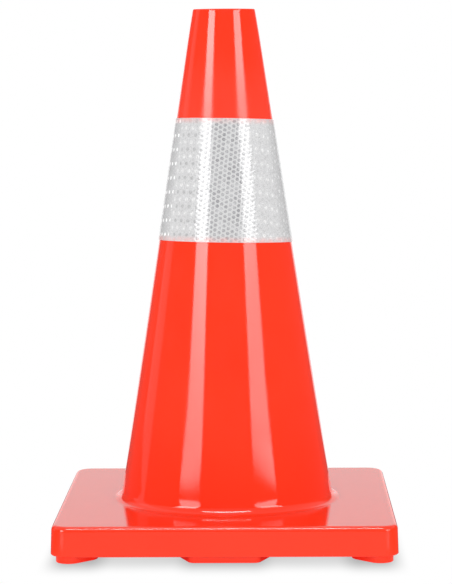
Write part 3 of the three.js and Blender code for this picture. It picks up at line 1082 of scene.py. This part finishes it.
def floor_shadow(g, across, along):
    """Pale shadow in front of and behind the base, a little deeper at the pads, none beside it."""
    outward = g.minus(along, BASE_HIGH.x)
    edge = g.ramp(outward, *EDGE_SHADOW_REACH, EDGE_SHADOW, 0)
    at_middle_pad = g.ramp(across, *MIDDLE_PAD_END, 1, 0)
    at_corner_pads = g.ramp(across, *CORNER_PAD_START, 0, 1)
    pads = g.math("MAXIMUM", at_middle_pad, at_corner_pads)
    depth = g.plus(edge, g.times(pads, g.ramp(outward, *PAD_SHADOW_REACH, PAD_SHADOW, 0)))
    near = g.add("AmbientOcclusion", {"Distance": CREVICE_REACH}, samples=8).outputs["AO"]
    depth = g.plus(depth, g.ramp(near, 0, 1, CREVICE_SHADOW, 0, smooth=False))
    inside = g.ramp(g.minus(across, BASE_HIGH.x), *SHADOW_SIDE, 1, 0)
    return g.minus(1.0, g.times(depth, inside))


UNDER_REACH = (-25 * MM, 5 * MM)  # where the floor counts as under the base, from the base's edge
# painted shade: glossy surfaces see the floor under the base this dark
UNDER_LEVEL = 0.05
FRONT_CARD_LEVEL = 0.6  # a lighter card lies on the table in front
FRONT_CARD_SPREAD = math.radians(50)
FRONT_CARD_FADE = (0.35, 0.6)  # distances from the middle of the base, in metres
WALL_START = (0.15, 0.21)
MIRROR_START = (0.27, 0.33)


def floor_reflection(g, geometry, x, y):
    """What glossy surfaces see of the floor away from the base: cards, the wall's foot, strip lights."""
    position = geometry["Position"]
    distance = g.add("VectorMath", {0: position}, operation="LENGTH").outputs["Value"]
    in_front = sector(g, x, y, 0, FRONT_CARD_SPREAD, soft=0.5)
    card = g.times(in_front, g.ramp(distance, *FRONT_CARD_FADE, FRONT_CARD_LEVEL - CARD_LEVEL, 0))
    wall = g.times(sector(g, x, y, math.pi, WALL_SPREAD), g.ramp(distance, *WALL_START, 0, 1))
    to_viewer_x, to_viewer_y, to_viewer_z = g.xyz(geometry["Incoming"])
    mirrored = strip_lights(g, g.times(to_viewer_x, -1.0), g.times(to_viewer_y, -1.0), to_viewer_z)
    mirrored = g.times(mirrored, g.ramp(distance, *MIRROR_START, 0, FLOOR_GLOSS))
    return g.plus(g.math("MAXIMUM", g.plus(card, CARD_LEVEL), wall), mirrored)


def floor_material():
    """A white light table. Reflections see it dimmer, with the strip lights mirrored in it further out,
    and under the base it is red to matt surfaces and nearly black to glossy ones.
    """
    material = bpy.data.materials.new("floor_white")
    g = Graph(material)
    geometry = g.add("NewGeometry").outputs
    x, y, _ = g.xyz(geometry["Position"])
    across, along = g.math("ABSOLUTE", x), g.math("ABSOLUTE", y)
    shown = floor_shadow(g, across, along)
    beyond_base = g.minus(g.math("MAXIMUM", across, along), BASE_HIGH.x)
    under = g.ramp(beyond_base, *UNDER_REACH, 1, 0)
    reflected = g.choose(under, floor_reflection(g, geometry, x, y), UNDER_LEVEL)
    path = g.add("LightPath").outputs
    unseen = g.choose(path["Is Glossy Ray"], 1.0, reflected)
    level = g.choose(path["Is Camera Ray"], unseen, shown)
    hidden = g.minus(under, path["Is Camera Ray"])
    colour = g.blend(hidden, WHITE, UNDER_COLOUR)
    glow = g.add("Emission", {"Color": colour, "Strength": level})
    g.surface(glow.outputs["Emission"])
    return material


def build_floor():
    half = 20
    corners = [(-half, -half, 0), (half, -half, 0), (half, half, 0), (-half, half, 0)]
    floor = new_object("floor", corners, [(0, 1, 2, 3)])
    floor.data.materials.append(floor_material())


SIDE_CARD_AZIMUTH = math.radians(-111.5)
SIDE_CARD_SPREAD = math.radians(10)
SIDE_CARD_LEVEL = 0.4
TENT_LOW = 2.5  # radiance of the tent that lights matt surfaces, at the horizon
TENT_HIGH = 0.7  # and from TENT_TOP up
TENT_TOP = 0.75
CEILING_START = (sine(20), sine(30))
ABOVE_TABLE = (0.1, 0.15)


def room_reflection(g, x, y, z, wall):
    """What glossy surfaces see of the room: dark cards, a white wall, a ceiling and the strip lights."""
    ceiling = g.ramp(z, *CEILING_START, 0, CEILING_LEVEL)
    room = g.times(g.math("MAXIMUM", wall, ceiling), 1 - CARD_LEVEL)
    side_card = sector(g, x, y, SIDE_CARD_AZIMUTH, SIDE_CARD_SPREAD)
    room = g.plus(g.plus(room, CARD_LEVEL), g.times(side_card, SIDE_CARD_LEVEL))
    return g.plus(room, strip_lights(g, x, y, z))


def build_world():
    """White to the camera, an even tent to matt surfaces, and the room to glossy ones."""
    world = bpy.data.worlds.new("studio")
    bpy.context.scene.world = world
    g = Graph(world)

    def background(colour, strength):
        return g.add("Background", {"Color": colour, "Strength": strength}).outputs[0]

    x, y, z = g.xyz(g.add("TexCoord").outputs["Generated"])
    wall = sector(g, x, y, math.pi, WALL_SPREAD)
    above_table = g.ramp(z, *ABOVE_TABLE, 0, 1)
    room_colour = g.blend(g.times(wall, above_table), WHITE, WALL_COLOUR)
    to_gloss = background(room_colour, room_reflection(g, x, y, z, wall))
    to_matt = background(WHITE, g.ramp(z, 0, TENT_TOP, TENT_LOW, TENT_HIGH, smooth=False))
    to_camera = background(WHITE, 1.0)
    path = g.add("LightPath").outputs
    lit = g.add("MixShader", {0: path["Is Glossy Ray"], 1: to_matt, 2: to_gloss}).outputs[0]
    seen = g.add("MixShader", {0: path["Is Camera Ray"], 1: lit, 2: to_camera}).outputs[0]
    g.add("OutputWorld", {"Surface": seen})


def softbox(name, centre, target, width, height, radiance):
    """A rectangular light that only shows in reflections; the tent does the even lighting."""
    data = bpy.data.lights.new(name, "AREA")
    data.shape = "RECTANGLE"
    data.size = width
    data.size_y = height
    data.energy = radiance * math.pi * width * height
    light = bpy.data.objects.new(name, data)
    bpy.context.scene.collection.objects.link(light)
    light.location = centre
    light.rotation_mode = "QUATERNION"
    light.rotation_quaternion = (Vector(target) - Vector(centre)).to_track_quat("-Z", "Y")
    light.visible_camera = False
    light.visible_diffuse = False


def build_lights():
    softbox("overhead", centre=(0, -0.6, 1.3), target=(0, 0, 0), width=0.9, height=0.18, radiance=26)


def build_camera():
    """The camera fitted to the photo: in metres and radians, with a lens in millimetres."""
    distance, side, height = 2.0509, 0.03718, 0.41256
    yaw, pitch, roll = 0.01798, 0.0977, -0.00637
    level_forward = Vector((-math.sin(yaw), math.cos(yaw), 0))
    level_right = Vector((math.cos(yaw), math.sin(yaw), 0))
    forward = level_forward * math.cos(pitch) - Vector((0, 0, math.sin(pitch)))
    level_up = Vector((0, 0, math.cos(pitch))) + level_forward * math.sin(pitch)
    right = level_right * math.cos(roll) + level_up * math.sin(roll)
    up = level_up * math.cos(roll) - level_right * math.sin(roll)
    data = bpy.data.cameras.new("camera")
    data.sensor_width = 36
    data.lens = 145.196
    camera = bpy.data.objects.new("camera", data)
    bpy.context.scene.collection.objects.link(camera)
    rotation = Matrix((right, up, -forward)).transposed().to_4x4()
    camera.matrix_world = Matrix.Translation((side, -distance, height)) @ rotation
    bpy.context.scene.camera = camera


def build_object():
    reds = {"colour": (0.95, 0.036, 0.009), "shade": (0.94, 0.033, 0.008)}
    cone_pvc = pvc("cone_pvc", **reds, roughness=0.09, grain=0.0012 * MM, scuffed=True)
    base_pvc = pvc("base_pvc", **reds, roughness=0.09, grain=0.0012 * MM)
    pad_pvc = pvc("pad_pvc", **reds, roughness=0.12, grain=0.003 * MM)
    collar_vinyl = vinyl("collar_vinyl", (0.66, 0.62, 0.61), roughness=0.5, line_scale=260,
                         line_depth=0.01 * MM)
    seam_vinyl = vinyl("seam_vinyl", (0.80, 0.80, 0.79), roughness=0.3, line_scale=90,
                       line_depth=0.06 * MM)
    build_cone_body(cone_pvc)
    build_base(base_pvc)
    for node, outline_at in FEET.items():
        build_foot(node, outline_at, pad_pvc)
    build_collar_backing(collar_vinyl)
    build_film(prism_film())
    build_seam_strip(seam_vinyl)


build_object()
build_floor()
build_world()
build_lights()
build_camera()
bpy.context.scene.view_settings.view_transform = "Standard"
